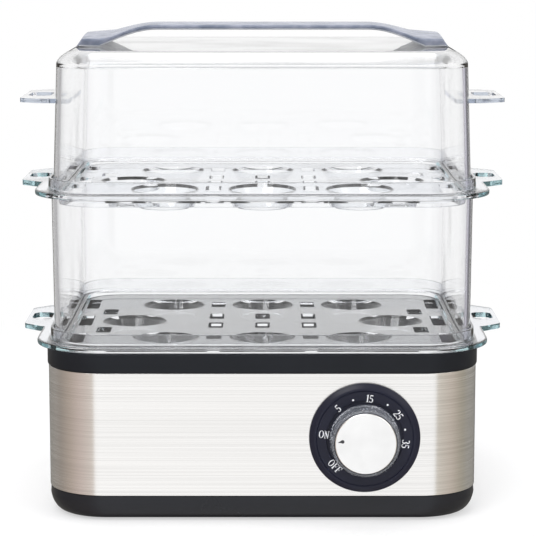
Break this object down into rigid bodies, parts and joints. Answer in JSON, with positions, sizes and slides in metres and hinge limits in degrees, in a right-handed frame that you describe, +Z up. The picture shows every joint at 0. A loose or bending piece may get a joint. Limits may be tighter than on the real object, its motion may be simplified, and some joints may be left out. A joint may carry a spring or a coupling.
{
  "type": "egg boiler",
  "caption": "Two-tier electric egg boiler: steel-banded base with a timer knob, clear egg trays, ring and lid with a smoked handle.",
  "frame": {"origin": "on the table, under the middle of the whole object's box", "axes": "+X to the right seen from the front, +Y to the rear, +Z up; the dial faces -Y"},
  "size_m": [0.2228, 0.1816, 0.2188],
  "materials": {
    "black_moulding": "black moulding with a soft shine",
    "brushed_steel": "stainless sheet, brushed along the band",
    "coated_dish": "dark non-stick coating",
    "seal_silicone": "matt silicone",
    "foot_rubber": "matt rubber",
    "bright_metal": "zinc plated or plain steel",
    "brass": "plain brass",
    "insulator": "cream heat resistant moulding",
    "dial_moulding": "blue-black moulding with a printed scale",
    "knob_clear": "clear ribbed grip",
    "knob_cap_metal": "bright turned face",
    "clear_moulding": "clear polished moulding",
    "tinted_moulding": "clear moulding with a blue-green edge tint",
    "smoked_moulding": "smoked translucent moulding",
    "lead_brown": "brown lead insulation",
    "lead_blue": "blue lead insulation",
    "lead_green": "green lead insulation"
  },
  "bodies": {
    "base": {"base_shell": "black_moulding", "steel_band": "brushed_steel", "top_collar": "black_moulding", "cord_gland": "black_moulding", "dial_ring": "dial_moulding", "rubber_foot_1": "foot_rubber", "rubber_foot_2": "foot_rubber", "rubber_foot_3": "foot_rubber", "rubber_foot_4": "foot_rubber", "case_screw_1": "bright_metal", "case_screw_2": "bright_metal", "case_screw_3": "bright_metal", "case_screw_4": "bright_metal", "heating_dish": "coated_dish", "dish_seal": "seal_silicone", "heating_element": "bright_metal", "element_pin_1": "bright_metal", "element_pin_2": "bright_metal", "thermostat": "insulator", "thermostat_bracket": "bright_metal", "thermal_fuse": "insulator", "stud_nut_1": "bright_metal", "stud_nut_2": "bright_metal", "stud_nut_3": "bright_metal", "timer_plate": "bright_metal", "timer_case": "bright_metal", "timer_bell": "bright_metal", "timer_blade_1": "brass", "timer_blade_2": "brass", "timer_screw_1": "bright_metal", "timer_screw_2": "bright_metal", "contact_block": "insulator", "contact_leaf_1": "brass", "contact_leaf_2": "brass", "terminal_block": "insulator", "terminal_screw_1": "brass", "terminal_screw_2": "brass", "terminal_screw_3": "brass", "lead_live": "lead_brown", "lead_timer_to_thermostat": "lead_brown", "lead_thermostat_to_fuse": "lead_brown", "lead_fuse_to_element": "lead_brown", "lead_neutral": "lead_blue", "lead_earth": "lead_green"},
    "timer_knob": {"knob_body": "black_moulding", "knob_skirt": "knob_clear", "knob_cap": "knob_cap_metal", "timer_shaft": "bright_metal", "timer_cam": "insulator", "timer_main_gear": "brass", "mainspring_barrel": "brass"},
    "timer_arbor": {"timer_pinion": "brass"},
    "lower_tray": {"lower_tray": "tinted_moulding"},
    "middle_ring": {"middle_ring": "clear_moulding"},
    "upper_tray": {"upper_tray": "tinted_moulding"},
    "lid": {"lid": "clear_moulding", "lid_handle": "smoked_moulding"}
  },
  "joints": [
    {"name": "knob_turn", "type": "hinge", "parent": "base", "child": "timer_knob", "pos_m": [0.0455, -0.07775, 0.0388], "axis": [0, 1, 0], "range_deg": [-49.6, 182]},
    {"name": "arbor_turn", "type": "hinge", "parent": "base", "child": "timer_arbor", "pos_m": [0.0455, -0.07775, 0.0523], "axis": [0, 1, 0], "range_deg": [-366, 101]},
    {"name": "lower_tray_lift", "type": "slide", "parent": "base", "child": "lower_tray", "axis": [0, 0, 1], "range_m": [0, 0.12]},
    {"name": "ring_lift", "type": "slide", "parent": "lower_tray", "child": "middle_ring", "axis": [0, 0, 1], "range_m": [0, 0.1]},
    {"name": "upper_tray_lift", "type": "slide", "parent": "middle_ring", "child": "upper_tray", "axis": [0, 0, 1], "range_m": [0, 0.1]},
    {"name": "lid_lift", "type": "slide", "parent": "upper_tray", "child": "lid", "axis": [0, 0, 1], "range_m": [0, 0.1]}
  ],
  "couplings": [
    {"joint": "arbor_turn", "follows": "knob_turn", "ratio": -2}
  ]
}
